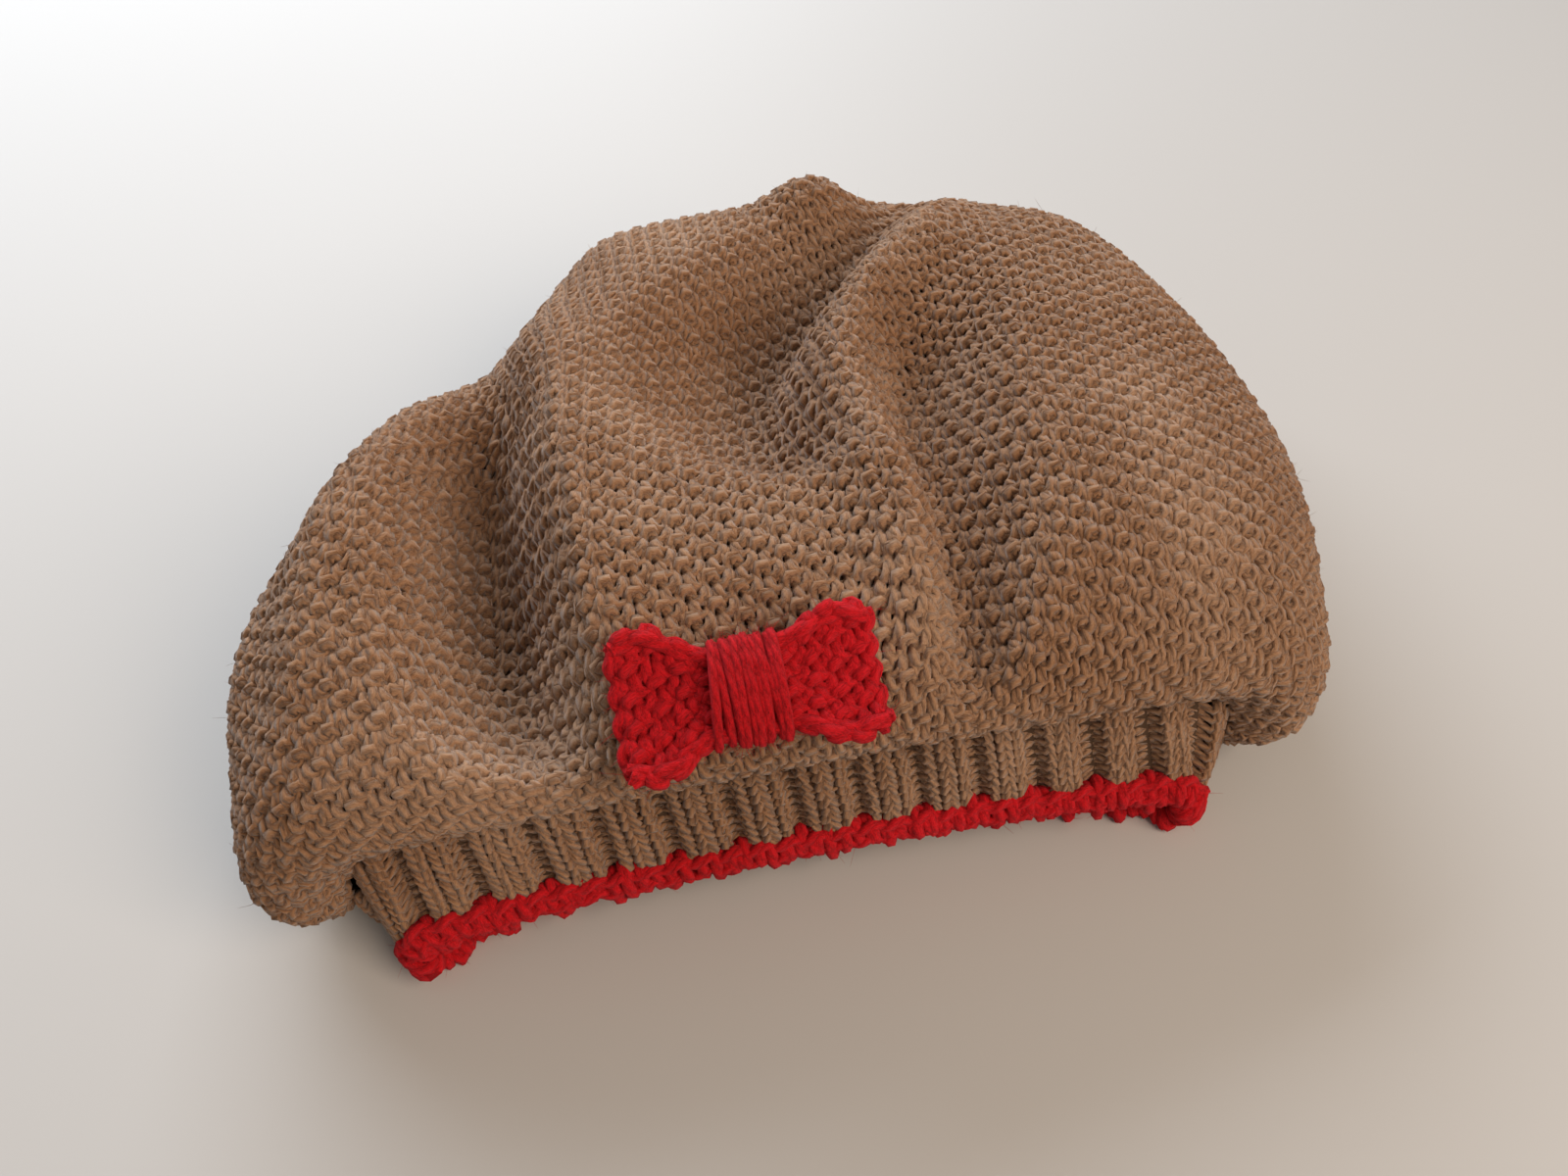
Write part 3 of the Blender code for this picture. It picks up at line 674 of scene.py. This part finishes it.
# Courses are evenly spaced along the top from the band to the closed end
def crownCourses():
    share = np.linspace(0, 1, crownKnit["topSamples"])
    top = smoothCrownPoint(np.full_like(share, topTurn), share)
    run = runAlong(top)
    count = int(run[-1] / crownKnit["course"])
    courses = (np.arange(count + 3) - 0.5) / (count + crownKnit["endGap"])
    stations = np.interp(courses * run[-1], run, share)
    stations = np.clip(stations, 0, crownKnit["closedEnd"])
    grid, plain = SurfaceGrid(crownPoint, stations), SurfaceGrid(smoothCrownPoint, stations)

    # distance round each ring, partly along the folds
    steps = [np.linalg.norm(np.diff(g.points, axis=1), axis=2) for g in (plain, grid)]
    metric = steps[0] * (1 - crownKnit["foldShare"]) + steps[1] * crownKnit["foldShare"]
    for _ in range(crownKnit["foldPasses"]):
        metric[1:-1] = (metric[:-2] + 2 * metric[1:-1] + metric[2:]) / 4
    distance = np.concatenate([np.zeros((len(stations), 1)), np.cumsum(metric, axis=1)], axis=1)
    return grid, distance, np.pad(np.cumsum(steps[1], axis=1), ((0, 0), (1, 0)))


# Stitches are even where they show, and what a ring has to spare lies on the hidden side
def crownStitches(course, grid, distance):
    turns, passed = grid.turns, distance[course]
    ring = passed[-1]
    x = grid.points[course, : len(turns) // 2 + 1, 0]
    room = crownKnit["edgeRoom"]
    middleLine = np.clip(crownKnit["middleLine"], min(x[0] + room, x.mean()),
                         max(x[-1] - room, x.mean()))
    zero = np.interp(np.interp(middleLine, x, turns[: len(x)]), turns, passed)
    loose = ease(grid.shares[course] / crownKnit["gatherRun"])
    wale = crownKnit["wale"] * (crownKnit["gather"] + (1 - crownKnit["gather"]) * loose)
    stitches = max(crownKnit["fewest"], 2 * int(round(ring / wale / 2)))
    rightFold = np.interp(rightTurn, turns, passed)
    firm = min(int((rightFold * 0.5 + crownKnit["firmPast"]) / wale), stitches // 2 - 2)
    k = np.arange(-(stitches // 2), stitches - stitches // 2)
    spare = (ring / 2 - firm * wale) / max(stitches / 2 - firm, 1)
    spread = np.where(np.abs(k) <= firm, k * wale,
                      np.sign(k) * (firm * wale + (np.abs(k) - firm) * spare))
    centres = np.interp(np.mod(zero + spread, ring), passed, turns)
    order = np.argsort(centres)
    centres = centres[order]
    widths = np.mod(np.roll(centres, -1) - np.roll(centres, 1), 1.0) / 2
    kinds = np.where((k[order] + course) % 2 == 0, 1, -1)
    return centres, widths, kinds


def knitCrown():
    grid, distance, cloth = crownCourses()
    rng = np.random.default_rng(crownKnit["seed"])
    firstSeen, lastSeen = crownKnit["seenTurns"]
    lines = []
    for j in range(len(grid.shares) - 2):
        centres, widths, kinds = crownStitches(j, grid, distance)
        facing = np.where(kinds > 0, crownKnit["fineSamples"], crownKnit["backSamples"])
        seen = (centres < lastSeen) | (centres > firstSeen)
        samples = np.where(seen, facing, crownKnit["hiddenSamples"])
        # loops that the folds stretch are drawn from fuller yarn, so that no gaps open in the cloth
        ends = [np.interp(centres + side * widths / 2, grid.turns, cloth[j]) for side in (-1, 1)]
        stretch = np.clip((ends[1] - ends[0]) / crownKnit["wale"], *crownKnit["girth"])
        line, thick = courseLine(grid.at, j + 1.0, centres, widths, kinds, -kinds, crownKnit,
                                 samples, rng, stretch ** crownKnit["girthPower"])
        lines.append((line, thick, True))
    share = -(-len(lines) // crownKnit["pieces"])
    for n in range(crownKnit["pieces"]):
        yarnPiece(f"crownKnit{n + 1}", lines[n * share: (n + 1) * share], crownKnit["radius"],
                  crownKnit["sides"], taupe, ["crown"])
    fuzzPiece("crownFuzz", lines[2:], crownKnit["fuzz"],
              lambda at: at * crownKnit["coreShare"] + crownKnit["corePlace"], taupe)
    end = crownPoint(np.array([topTurn]), np.array([1.0]))[0] + np.array([0, crownKnit["lift"], 0])
    # the dark sheet behind the crown's loops: painted shade
    ringSheet("crownShade", grid, crownKnit["shadeStep"], crownKnit["lift"] + crownKnit["shadeLift"],
              ["crown"], end)


knitCrown()
print("crown knitted")

ribKnit = {
    "repeats": 28, "courses": 10, "radius": 0.00098, "depth": 0.00075, "lift": -0.0010,
    "rise": 0.88, "bulge": 1.5, "slant": 0.0, "jitter": 0.05, "plump": 0.06,
    "leg": 1.0, "shoulder": 0.8, "head": 1.0, "sinker": 1.0,
    "samples": 8, "sides": 5, "seed": 5, "frontShare": 0.23, "lean": 0.004,
    "edgingOverlap": 0.0015, "shadeStep": 6, "shadeLift": -0.0028,
    # the purl columns sink by the valley, and the knit columns round off toward it
    "valley": 0.0025, "roundOff": 0.35, "flat": 1.15, "flatPower": 3, "dipPower": 0.5,
    # two knit and two purl columns in a repeat: their middles and widths as shares of it,
    # where the rib is slack and where it is stretched
    "slack": ((0.170, 0.500, 0.745, 0.915), (0.33, 0.33, 0.17, 0.17)),
    "stretched": ((0.110, 0.330, 0.570, 0.855), (0.22, 0.22, 0.28, 0.28)),
    # the rib stretches toward the right fold: the turns where that starts and ends, and its runs
    "stretchFrom": 0.26, "stretchRun": 0.14, "stretchTo": 0.62, "slackRun": 0.1,
}


# The share of the ribs passed at each turn of a ring. In front the ribs keep the mouth's spacing and run
# side by side, a little toward the left going up; what a ring has to spare lies behind.
def ribShares(points, mouthLength, height):
    distance = runAlong(points)
    ring, front = distance[-1], ribKnit["frontShare"]
    middle = distance[int(len(distance) * topTurn)] - ribKnit["lean"] * height
    reach = front * mouthLength
    knots = middle + np.array([reach - ring, -reach, reach, ring - reach, ring + reach])
    shares = topTurn + np.array([front - 1, -front, front, 1 - front, 1 + front])
    return np.interp(distance, knots, shares)


# How deep the cloth lies at a phase of a repeat, as a share of the valley
def ribDrop(phase, knitShare):
    inside = phase / knitShare
    outside = (phase - knitShare) / (1 - knitShare)
    ridge = np.clip(ribKnit["flat"] - np.abs(2 * inside - 1) ** ribKnit["flatPower"], 0, 1)
    dip = np.sin(np.pi * np.clip(outside, 0, 1)) ** ribKnit["dipPower"]
    return np.where(inside < 1, ribKnit["roundOff"] * (1 - ridge),
                    ribKnit["roundOff"] + (1 - ribKnit["roundOff"]) * dip)


def ribCourse(course, grid, passed, rng):
    repeat = np.repeat(np.arange(ribKnit["repeats"]), 4)
    column = np.tile(np.arange(4), ribKnit["repeats"])

    def turnAt(spot):
        return np.interp(np.mod(spot - passed[0], 1.0) + passed[0], passed, grid.turns)

    middle = turnAt((repeat + 0.5) / ribKnit["repeats"])
    pull = (ease((middle - ribKnit["stretchFrom"]) / ribKnit["stretchRun"])
            * ease((ribKnit["stretchTo"] - middle) / ribKnit["slackRun"]))
    middles, widths = (np.array(ribKnit["slack"][i])[column] * (1 - pull)
                       + np.array(ribKnit["stretched"][i])[column] * pull for i in (0, 1))
    centres = turnAt((repeat + middles) / ribKnit["repeats"])
    kinds = np.where(column < 2, 1, -1)
    knitShare = widths.reshape(-1, 4)[:, :2].sum(axis=1)

    def place(rows, turn):
        at, around, up, out = grid.at(rows, turn)
        spot = np.interp(np.mod(turn, 1.0), grid.turns, passed) * ribKnit["repeats"]
        n = np.floor(spot).astype(int) % ribKnit["repeats"]
        drop = ribDrop(np.mod(spot, 1.0), knitShare[n])
        return at - out * (drop * ribKnit["valley"])[:, None], around, up, out

    samples = np.full(len(centres), ribKnit["samples"])
    line, thick = courseLine(place, course + 0.5, centres, widths / ribKnit["repeats"], kinds, kinds,
                             ribKnit, samples, rng)
    return line, thick, True


def knitBand():
    length = hat["bandHeight"] + hat["edgingHeight"]
    first = (hat["edgingHeight"] - ribKnit["edgingOverlap"]) / length
    shares = np.linspace(first, 1.0, ribKnit["courses"] + 2)
    grid = SurfaceGrid(bandPoint, np.append(shares, 1.0))
    rng = np.random.default_rng(ribKnit["seed"])
    mouthLength = runAlong(grid.points[0])[-1]
    lines = [ribCourse(j, grid, ribShares(grid.points[j], mouthLength, shares[j]), rng)
             for j in range(ribKnit["courses"] + 1)]
    yarnPiece("bandRib", lines, ribKnit["radius"], ribKnit["sides"], taupe,
              ["rib_band"])
    # the dark sheet behind the band's loops: painted shade
    ringSheet("bandShade", grid, ribKnit["shadeStep"], ribKnit["shadeLift"],
              ["rib_band"])


knitBand()
print("band knitted")

edging = {
    "wraps": 118, "radius": 0.00134, "tall": 0.0032, "deep": 0.0020, "sides": 6,
    "samplesPerWrap": 12, "picots": 31, "picotDrop": 0.0020, "seed": 7,
    "fuzz": 900, "coreShare": (0.9, 1, 0), "corePlace": (0, 0.012, 0.003),  # as on the crown
    # the two wrapped strands: how far into a wrap each starts, its lean and its size
    "strands": ((0.0, -0.0012, 1.0), (0.5, 0.0012, 0.82)), "behind": 0.0012,
    # how unevenly the wraps lie along the mouth, stand up and stand out
    "wobble": (0.00096, 0.192, 0.24),
    # the two strands that run along the wraps: their height and depth
    "chains": ((0.0024, 0.0004), (-0.0010, 0.0006)), "chainSize": 0.9, "chainPoints": 900,
    "chainRise": 0.0006, "chainSway": 0.0003,
    # the rows of the surface that carries them: the first and last as shares, and how many
    "firstRow": -0.02, "lastRow": 1.15, "rows": 9,
}


# Crochet along the mouth: yarn wrapped round and round, with a small loop hanging every few wraps
def crochetEdging():
    length = hat["bandHeight"] + hat["edgingHeight"]
    lastRow = hat["edgingHeight"] / length * edging["lastRow"]
    grid = SurfaceGrid(bandPoint, np.linspace(edging["firstRow"], lastRow, edging["rows"]))
    middleRow = edging["rows"] // 2
    distance = runAlong(grid.points[middleRow])
    distance /= distance[-1]

    def onMouth(t):
        turn = np.interp(t, distance, grid.turns)
        at, _, up, out = grid.at(np.full(len(t), float(middleRow)), turn)
        return at, up, out

    rng = np.random.default_rng(edging["seed"])
    count = edging["wraps"] * edging["samplesPerWrap"]
    t = np.arange(count) / count
    picot = np.maximum(np.cos(2 * math.pi * edging["picots"] * t), 0) ** 2
    lines = []
    for start, lean, size in edging["strands"]:
        wobble = rng.normal(0, 1, (3, edging["wraps"]))
        sway, taller, deeper = (
            share * np.interp(t * edging["wraps"], np.arange(edging["wraps"]), wave)
            for share, wave in zip(edging["wobble"], wobble))
        angle = 2 * math.pi * (t * edging["wraps"] + start)
        at, up, out = onMouth(np.mod(t + lean * np.sin(angle) + sway, 1.0))
        tall = edging["tall"] * size * (1 + taller)
        deep = edging["deep"] * size * (1 + deeper)
        height = tall * np.cos(angle) - edging["picotDrop"] * picot * (np.cos(angle) < 0)
        depth = deep * np.sin(angle) - edging["behind"]
        lines.append((at + up * height[:, None] + out * depth[:, None], 1.0, True))
    t = np.arange(edging["chainPoints"]) / edging["chainPoints"]
    at, up, out = onMouth(t)
    swing = 2 * math.pi * edging["picots"] * 2 * t
    for height, depth in edging["chains"]:
        line = (at + up * (height + edging["chainRise"] * np.sin(swing))[:, None]
                + out * (depth + edging["chainSway"] * np.cos(swing))[:, None])
        lines.append((line, edging["chainSize"], True))
    for line, _, _ in lines:
        line[:, 2] = np.maximum(line[:, 2], edging["radius"])
    yarnPiece("mouthEdging", lines, edging["radius"], edging["sides"], red,
              ["red_edging"])
    fuzzPiece("edgingFuzz", lines[:2], edging["fuzz"],
              lambda at: at * edging["coreShare"] + edging["corePlace"], red)


crochetEdging()
print("edging crocheted")

bow = {
    "width": 0.046, "height": 0.025, "taper": 0.07, "corner": 0.15, "cornerPower": 6,
    "waistHeight": 0.0145, "waistDepth": 0.0060, "edgeRound": 0.99,
    "curl": 0.0040, "curlPower": 2.5, "wall": 0.0032, "flare": 0.62, "bend": 0.4,
    "knotWidth": 0.0115, "knotWall": 0.0022, "knotBack": 0.0016, "clearance": 0.0003,
    "turn": 0.230, "along": 0.139,  # where its middle lies on the crown
    "core": 0.6,  # its fibres stand away from points this share of the way out
}
# the crown under the bow, read round its middle turn and from the front
bowProbe = {"step": 0.02, "turns": 0.08, "turnSteps": 65, "along": 0.3, "alongSteps": 61}


def waistShare(across):
    reach = bow["knotWidth"] / 2
    return ease(1 - (np.abs(across) - reach) / (bow["width"] / 2 - reach) / bow["flare"])


def stripHalf(across):
    side = np.clip(2 * across / bow["width"], -1, 1)
    height = bow["height"] * (1 - bow["taper"] * side - bow["corner"] * side ** bow["cornerPower"])
    return (height + (bow["waistHeight"] - height) * waistShare(across)) / 2


def stripRounding(up):
    return bow["waistDepth"] / 2 * np.sqrt(1 - bow["edgeRound"] * np.clip(up, -1, 1) ** 2)


def stripBack(across, up):
    pinch = waistShare(across)
    curl = bow["curl"] * np.abs(up) ** bow["curlPower"] * (1 - pinch)
    lift = 2 * bow["clearance"] + bow["knotBack"]
    return lift + curl + (bow["waistDepth"] / 2 - stripRounding(up)) * pinch


# The bow's middle, its directions across, up and out, and how far the crown under it stands out
def bowFrame():
    turn, along = np.array([bow["turn"]]), np.array([bow["along"]])
    step = bowProbe["step"]
    across = smoothCrownPoint(turn + step, along) - smoothCrownPoint(turn - step, along)
    up = smoothCrownPoint(turn, along + step) - smoothCrownPoint(turn, along - step)
    across, up = unit(across[0]), up[0]
    up = unit(up - across * (up @ across))
    middle = smoothCrownPoint(turn, along)[0]
    directions = np.stack([across, up, np.cross(across, up)])
    turns = bow["turn"] + np.linspace(-bowProbe["turns"], bowProbe["turns"], bowProbe["turnSteps"])
    turns, alongs = np.meshgrid(turns, np.linspace(0, bowProbe["along"], bowProbe["alongSteps"]))
    at = (crownPoint(turns, alongs).reshape(-1, 3) - middle) @ directions.T
    x, y, z = at[:, 0], at[:, 1], at[:, 2] + at[:, 0] ** 2 / (2 * bow["bend"])
    half = stripHalf(x)
    strip = (np.abs(x) < bow["width"] / 2) & (np.abs(y) < half)
    knot = (np.abs(x) < bow["knotWidth"] / 2) & (np.abs(y) < bow["waistHeight"] / 2 + bow["knotWall"])
    seat = max((z - stripBack(x, y / half) + bow["clearance"])[strip].max(), z[knot].max())
    return middle, directions, seat


bowMiddle, bowDirections, bowSeat = bowFrame()


def onBowSeat(across, up, height):
    out = bowSeat + height - across**2 / (2 * bow["bend"])
    return bowMiddle + np.stack([across, up, out], axis=-1) @ bowDirections


def insideBow(at):
    return bowMiddle + bow["core"] * (at - bowMiddle)


def stripMiddle(across, up):
    pinch = waistShare(across)
    return stripBack(across, up) + 0.5 * bow["wall"] * (1 - pinch) + stripRounding(up) * pinch


bowKnit = {
    "wales": 10, "courses": 9, "radius": 0.00120, "depth": 0.00085, "lift": 0.0003,
    "rise": 0.90, "bulge": 0.7, "slant": 0.9, "jitter": 0.10, "plump": 0.12,
    "leg": 0.5, "shoulder": 0.6, "head": 1.2, "sinker": 0.8, "samples": 14, "sides": 6,
    "seed": 4, "fuzz": 1500,
    "sideRoom": 2.4,  # in radii of its yarn
    "knitHeight": 0.94, "furthestRow": 1.06,  # shares of the strip's half height
    "shadeHeight": 0.9, "shadeWidth": 0.48, "shadeRows": 15, "shadeColumns": 33,
    "shadeDepth": 0.0006, "slopeStep": 0.0002,
}
# the strands rolled along the strip's upper and lower rims, and the ones along its two sides
bowRim = {
    "strands": ((0.0, 0.0010), (math.pi, 0.0004)), "row": 0.98, "rowStep": 0.3, "rowSway": 0.15,
    "depthSway": 0.0005, "size": 1.15, "points": 160,
}
bowSide = {"inset": 0.1, "past": 0.0002, "sway": 0.0005, "depthSway": 0.0006, "points": 90}


# The strip is knitted across, one course above the other, with a rolled rim above and below
def bowPlace(rows, across):
    furthest = bowKnit["furthestRow"]
    up = np.clip(rows / bowKnit["courses"] * 2 - 1, -furthest, furthest) * bowKnit["knitHeight"]
    middle = stripMiddle(across, up)
    step = bowKnit["slopeStep"]
    rise = (stripMiddle(across, up + step / stripHalf(across)) - middle) / step
    lean = (stripMiddle(across + step, up) - middle) / step
    out = unit(np.stack([-lean, -rise, np.ones_like(rise)], axis=-1)) @ bowDirections
    return onBowSeat(across, up * stripHalf(across), middle), None, None, out


def bowBorder(inner, side):
    lines = []
    x = np.linspace(-0.5, 0.5, bowRim["points"]) * inner
    rows = (bowKnit["courses"] / 2) * (1 + side * bowRim["row"])
    for n, (start, depth) in enumerate(bowRim["strands"]):
        swing = math.pi * bowKnit["wales"] * x / inner + start
        at, _, _, out = bowPlace(rows + bowRim["rowSway"] * np.cos(swing)
                                 - side * bowRim["rowStep"] * n, x)
        line = at + out * (depth + bowRim["depthSway"] * np.sin(swing))[:, None]
        lines.append((line, bowRim["size"], False))
    rows = np.linspace(bowSide["inset"], bowKnit["courses"] - bowSide["inset"], bowSide["points"])
    swing = math.pi * rows
    across = side * (inner / 2 + bowSide["past"]) + bowSide["sway"] * np.sin(swing)
    at, _, _, out = bowPlace(rows, across)
    lines.append((at + out * (bowSide["depthSway"] * np.cos(swing))[:, None], 1.0, False))
    return lines


def knitBow():
    knit = bowKnit
    rng = np.random.default_rng(knit["seed"])
    inner = bow["width"] - knit["sideRoom"] * knit["radius"]
    widths = np.full(knit["wales"], inner / knit["wales"])
    centres = (np.arange(knit["wales"]) + 0.5) * widths[0] - inner / 2
    samples = np.full(knit["wales"], knit["samples"])
    lines = []
    for j in range(knit["courses"]):
        kinds = np.where((np.arange(knit["wales"]) + j) % 2 == 0, 1, -1)
        line, thick = courseLine(bowPlace, j + 0.5, centres, widths, kinds, -kinds, knit, samples,
                                 rng)
        lines.append((line, thick, False))
    lines += bowBorder(inner, -1) + bowBorder(inner, 1)
    yarnPiece("bowKnit", lines, knit["radius"], knit["sides"], red, ["bow_strip"])
    fuzzPiece("bowFuzz", lines, knit["fuzz"], insideBow, red)

    # a dark sheet behind the bow's loops: painted shade
    ups = np.linspace(-knit["shadeHeight"], knit["shadeHeight"], knit["shadeRows"])
    acrosses = np.linspace(-knit["shadeWidth"], knit["shadeWidth"], knit["shadeColumns"])
    up, across = np.meshgrid(ups, acrosses * bow["width"], indexing="ij")
    flat = onBowSeat(across.ravel(), (up * stripHalf(across)).ravel(),
                     stripMiddle(across, up).ravel() - knit["shadeDepth"]).reshape(*up.shape, 3)
    sheetPiece("bowShade", flat, redPaintedShade, ["bow_strip"], around=False)


winding = {
    "turns": 12, "radius": 0.00088, "sides": 6, "points": 48, "seed": 3, "fuzz": 700,
    # how unevenly the turns lie: lean and place in metres, the others as shares
    "lean": 0.0004, "place": 0.0002, "growth": 0.025, "thickness": 0.05,
    "lowest": 0.9,  # in radii of its yarn
}


def windKnot():
    rng = np.random.default_rng(winding["seed"])
    middle = bow["clearance"] + bow["knotBack"] + bow["clearance"] + bow["waistDepth"] / 2
    tall = bow["waistHeight"] / 2 + bow["clearance"] + bow["knotWall"] / 2
    deep = bow["waistDepth"] / 2 + bow["clearance"] + bow["knotWall"] / 2
    angle = 2 * math.pi * np.arange(winding["points"]) / winding["points"]
    lines = []
    for n in range(winding["turns"]):
        place = ((n + 0.5) / winding["turns"] - 0.5) * bow["knotWidth"]
        lean = rng.normal(0, winding["lean"])
        x = place + lean * np.cos(angle) + rng.normal(0, winding["place"])
        grow = 1 + rng.normal(0, winding["growth"])
        up = tall * grow * np.cos(angle)
        z = np.maximum(middle + deep * grow * np.sin(angle), winding["radius"] * winding["lowest"])
        lines.append((onBowSeat(x, up, z), 1.0 + rng.normal(0, winding["thickness"]), True))
    yarnPiece("bowWinding", lines, winding["radius"], winding["sides"], red,
              ["bow_knot"])
    fuzzPiece("knotFuzz", lines, winding["fuzz"], insideBow, red)


knitBow()
windKnot()
print("bow knitted")

# Floor, light and camera
studio = {
    "floorColour": (0.52, 0.52, 0.52, 1), "floorRoughness": 0.6, "floorReach": 3,
    "world": (1.0, 0.90, 0.80, 1), "worldStrength": 0.31, "lightTarget": (0, 0, 0.03),
}
lights = {
    "backLight": {"place": (-0.25, 0.80, 0.58), "size": (1.1, 0.6), "watts": 13.5,
                  "colour": (0.90, 0.95, 1.0)},
    "frontLight": {"place": (0.55, -0.65, 0.75), "size": (0.7, 0.7), "watts": 9.0,
                   "colour": (1.0, 0.80, 0.62)},
}
camera = {
    "place": (-0.03083821, -0.11213571, 0.23151111), "lens": 28.08, "sensor": 36,
    "nearest": 0.01, "down": 50.0, "turn": -12.0,
}


def stageFloor():
    far = studio["floorReach"]
    mesh = bpy.data.meshes.new("floor")
    mesh.from_pydata([(-far, -far, 0), (far, -far, 0), (far, far, 0), (-far, far, 0)], [],
                     [(0, 1, 2, 3)])
    floor = addObject("floor", mesh)
    material, net = newMaterial("floor")
    finishMaterial(net, {"Base Color": studio["floorColour"], "Roughness": studio["floorRoughness"]})
    mesh.materials.append(material)


def areaLight(name, look):
    light = bpy.data.lights.new(name, "AREA")
    light.shape = "RECTANGLE"
    light.size, light.size_y = look["size"]
    light.energy = look["watts"]
    light.color = look["colour"]
    lamp = addObject(name, light)
    lamp.location = look["place"]
    way = Vector(studio["lightTarget"]) - Vector(look["place"])
    lamp.rotation_euler = way.to_track_quat("-Z", "Y").to_euler()


def softWorld():
    world = bpy.data.worlds.new("studio")
    bpy.context.scene.world = world
    world.use_nodes = True
    sky = world.node_tree.nodes["Background"].inputs
    sky["Color"].default_value = studio["world"]
    sky["Strength"].default_value = studio["worldStrength"]


def placeCamera():
    lens = bpy.data.cameras.new("camera")
    lens.sensor_width = camera["sensor"]
    lens.lens = camera["lens"]
    lens.clip_start = camera["nearest"]
    viewer = addObject("camera", lens)
    viewer.location = Vector(camera["place"]) + Vector(shift)
    tilt, turn = math.radians(90 - camera["down"]), math.radians(camera["turn"])
    viewer.rotation_euler = Euler((tilt, 0, turn))
    bpy.context.scene.camera = viewer


stageFloor()
for name, look in lights.items():
    areaLight(name, look)
softWorld()
placeCamera()
bpy.context.scene.view_settings.view_transform = "Standard"
print("studio ready")
